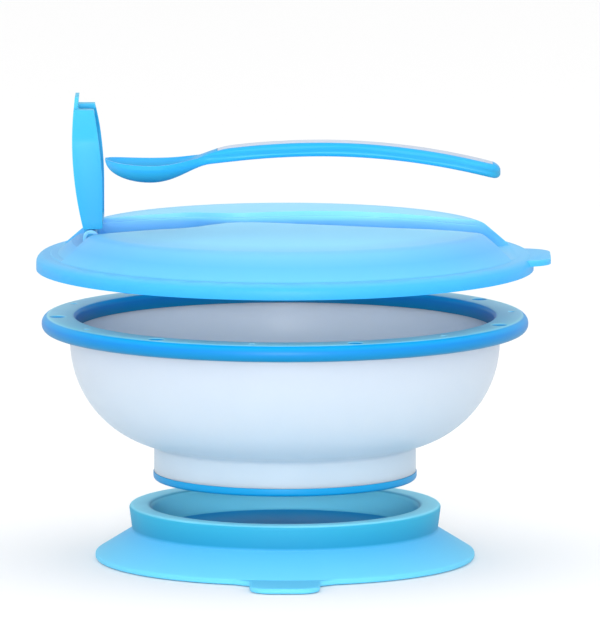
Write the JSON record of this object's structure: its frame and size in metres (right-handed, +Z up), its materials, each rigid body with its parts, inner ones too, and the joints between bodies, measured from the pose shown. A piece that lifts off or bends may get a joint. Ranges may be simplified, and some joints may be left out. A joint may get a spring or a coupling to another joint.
{
  "type": "suction bowl",
  "caption": "Child's feeding bowl with a soft rim, a press-in suction base, a lid with a spoon channel under a hinged flap, and a spoon.",
  "frame": {"origin": "centre of the suction base's underside, on the table", "axes": "+Z up along the bowl's axis, +X from the flap's hinge towards the lid's pull tab, -Y towards the release tab"},
  "size_m": [0.185, 0.179, 0.1677],
  "materials": {
    "base_tpe": "satin moulded TPE",
    "bowl_pp": "frosted translucent polypropylene",
    "rim_tpe": "glossy moulded TPE",
    "lid_pp": "translucent blue polypropylene",
    "flap_pp": "translucent blue polypropylene",
    "spoon_pp": "blue polypropylene",
    "inlay_pp": "grey translucent polypropylene"
  },
  "bodies": {
    "base": {"suction_base": "base_tpe"},
    "bowl": {"bowl_shell": "bowl_pp", "rim_grip": "rim_tpe", "foot_grip": "rim_tpe"},
    "lid": {"lid_shell": "lid_pp"},
    "flap": {"spoon_flap": "flap_pp"},
    "spoon": {"spoon_body": "spoon_pp", "spoon_inlay": "inlay_pp"}
  },
  "joints": [
    {"name": "bowl_press_in", "type": "slide", "parent": "base", "child": "bowl", "axis": [0, 0, -1], "range_m": [0, 0.0183]},
    {"name": "lid_press_on", "type": "slide", "parent": "bowl", "child": "lid", "axis": [0, 0, -1], "range_m": [0, 0.0203]},
    {"name": "flap_hinge", "type": "hinge", "parent": "lid", "child": "flap", "pos_m": [-0.0695, 0, 0.1183], "axis": [0, 1, 0], "range_deg": [0, 90]},
    {"name": "spoon_stow", "type": "slide", "parent": "lid", "child": "spoon", "axis": [0, 0.736, -0.677], "range_m": [0, 0.04579]}
  ]
}
